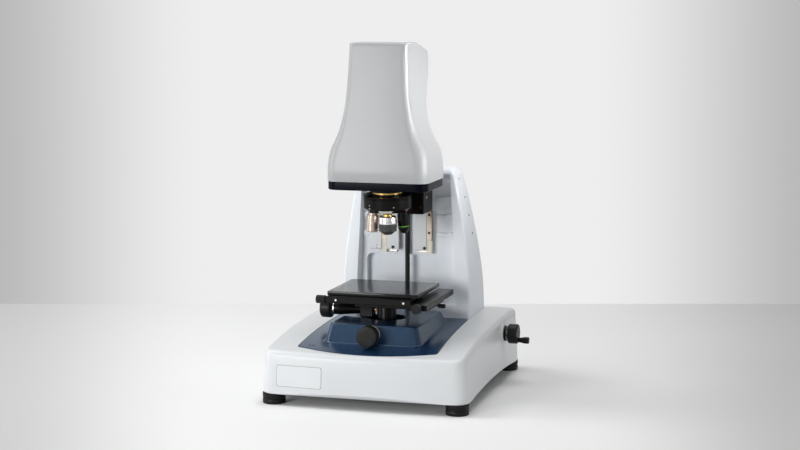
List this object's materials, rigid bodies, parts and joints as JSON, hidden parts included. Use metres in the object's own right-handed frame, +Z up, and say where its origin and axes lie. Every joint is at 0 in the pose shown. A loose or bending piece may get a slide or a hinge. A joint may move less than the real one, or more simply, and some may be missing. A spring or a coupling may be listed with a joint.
{
  "type": "optical profiler",
  "caption": "Bench optical profiler: a head with a turret of objectives slides on a column above a tip, tilt and XY stage, on a cast base with a crank.",
  "frame": {"origin": "middle of the instrument's outline on the table top, at the feet's undersides", "axes": "+X to the operator's right, +Y to the rear, +Z up"},
  "size_m": [0.4856, 0.504, 0.728],
  "materials": {
    "white_paint": "semi-gloss white paint",
    "blue_hammertone": "deep blue hammertone paint",
    "navy_paint": "near-black navy satin paint",
    "black_anodised": "satin black anodised",
    "black_plastic": "matte black",
    "black_steel": "blackened steel",
    "rubber": "matte black rubber",
    "steel": "machined steel",
    "nickel": "nickel plated",
    "chrome": "satin chrome plated",
    "copper": "copper-coloured metal",
    "brass": "yellow brass",
    "cream_plastic": "cream plastic",
    "tan_metal": "tan satin metal",
    "red_metal": "salmon satin metal",
    "grey_metal": "grey cast metal"
  },
  "bodies": {
    "root": {"base_casting": "white_paint", "base_floor_plate": "grey_metal", "foot_front_left": "rubber", "foot_front_right": "rubber", "foot_rear_left": "rubber", "foot_rear_right": "rubber", "top_cover": "blue_hammertone", "column_casting": "white_paint", "column_rear_cover": "white_paint", "guide_rail_left": "steel", "guide_rail_right": "steel", "lower_screw_bearing": "steel", "upper_screw_bearing": "steel", "crank_flange": "black_anodised", "tip_bezel": "tan_metal", "tilt_ring": "nickel", "tilt_housing": "black_anodised", "tilt_block": "black_anodised", "stage_pedestal": "grey_metal"},
    "screw": {"lead_screw": "black_steel"},
    "crank": {"crank_shaft": "steel", "crank_wheel": "black_plastic"},
    "grip": {"crank_grip": "black_plastic"},
    "carriage": {"lift_carriage": "white_paint", "gib_strip_left": "tan_metal", "gib_strip_right": "tan_metal", "way_wiper_left": "cream_plastic", "way_wiper_right": "cream_plastic", "limit_switch_cover": "white_paint", "lift_nut": "brass", "head_bracket": "black_anodised", "head_plate": "navy_paint", "head_cover": "white_paint", "optics_tube": "black_anodised", "beam_splitter_box": "black_anodised", "camera": "grey_metal", "lamp_housing": "grey_metal", "turret_mount": "black_anodised", "turret_thread_ring": "brass"},
    "turret": {"turret_ring": "black_anodised", "objective_a_barrel": "chrome", "objective_a_nose": "black_anodised", "objective_b": "black_anodised", "objective_c": "red_metal", "objective_d": "tan_metal"},
    "tip_control": {"tip_knob": "black_plastic", "tip_shaft": "steel"},
    "tilt_control": {"tilt_knob": "black_plastic", "tilt_shaft": "copper"},
    "gimbal": {"gimbal_ring": "steel"},
    "post": {"stage_post": "black_anodised", "stage_base": "black_anodised", "y_bar": "black_anodised"},
    "middle_slide": {"y_slide": "black_anodised", "x_bar": "black_anodised"},
    "y_screw": {"y_knob": "black_plastic"},
    "plate": {"sample_plate": "black_anodised"},
    "x_screw": {"x_knob": "black_plastic"},
    "lock": {"stage_lock": "black_steel"}
  },
  "joints": [
    {"name": "z_travel", "type": "slide", "parent": "root", "child": "carriage", "axis": [0, 0, 1], "range_m": [-0.1, 0.005]},
    {"name": "screw_turn", "type": "hinge", "parent": "root", "child": "screw", "pos_m": [-0.0263, 0.096, 0.106], "axis": [0, 0, 1], "range_deg": [-230, 4510]},
    {"name": "crank_turn", "type": "hinge", "parent": "root", "child": "crank", "pos_m": [0.1985, 0.096, 0.106], "axis": [1, 0, 0], "range_deg": [-230, 4510]},
    {"name": "grip_spin", "type": "hinge", "parent": "crank", "child": "grip", "pos_m": [0.2198, 0.096, 0.093], "axis": [1, 0, 0], "continuous": true},
    {"name": "turret_spin", "type": "hinge", "parent": "carriage", "child": "turret", "pos_m": [-0.0263, -0.056, 0.398], "axis": [0, -0.0698, 0.9976], "continuous": true},
    {"name": "tip_knob_turn", "type": "hinge", "parent": "root", "child": "tip_control", "pos_m": [-0.0263, -0.1845, 0.142], "axis": [0, 1, 0], "range_deg": [-410, 410]},
    {"name": "tilt_knob_turn", "type": "hinge", "parent": "root", "child": "tilt_control", "pos_m": [-0.1448, -0.062, 0.1725], "axis": [1, 0, 0], "range_deg": [-712, 712]},
    {"name": "tip", "type": "hinge", "parent": "root", "child": "gimbal", "pos_m": [-0.0263, -0.062, 0.116], "axis": [1, 0, 0], "range_deg": [-2, 2]},
    {"name": "tilt", "type": "hinge", "parent": "gimbal", "child": "post", "pos_m": [-0.0263, -0.062, 0.116], "axis": [0, 1, 0], "range_deg": [-2, 2]},
    {"name": "y_travel", "type": "slide", "parent": "post", "child": "middle_slide", "axis": [0, 1, 0], "range_m": [-0.025, 0.025]},
    {"name": "y_knob_turn", "type": "hinge", "parent": "post", "child": "y_screw", "pos_m": [0.0717, -0.172, 0.1998], "axis": [0, 1, 0], "range_deg": [-4510, 4510]},
    {"name": "x_travel", "type": "slide", "parent": "middle_slide", "child": "plate", "axis": [1, 0, 0], "range_m": [-0.025, 0.025]},
    {"name": "x_knob_turn", "type": "hinge", "parent": "middle_slide", "child": "x_screw", "pos_m": [-0.1303, -0.138, 0.2028], "axis": [1, 0, 0], "range_deg": [-4510, 4510]},
    {"name": "lock_turn", "type": "hinge", "parent": "post", "child": "lock", "pos_m": [0.0257, -0.032, 0.1815], "axis": [1, 0, 0], "range_deg": [0, 270]}
  ],
  "couplings": [
    {"joint": "screw_turn", "follows": "z_travel", "rad_per_m": -785.4},
    {"joint": "crank_turn", "follows": "z_travel", "rad_per_m": -785.4},
    {"joint": "tip_knob_turn", "follows": "tip", "ratio": 204.2},
    {"joint": "tilt_knob_turn", "follows": "tilt", "ratio": 355},
    {"joint": "y_knob_turn", "follows": "y_travel", "rad_per_m": 3141.6},
    {"joint": "x_knob_turn", "follows": "x_travel", "rad_per_m": 3141.6}
  ]
}
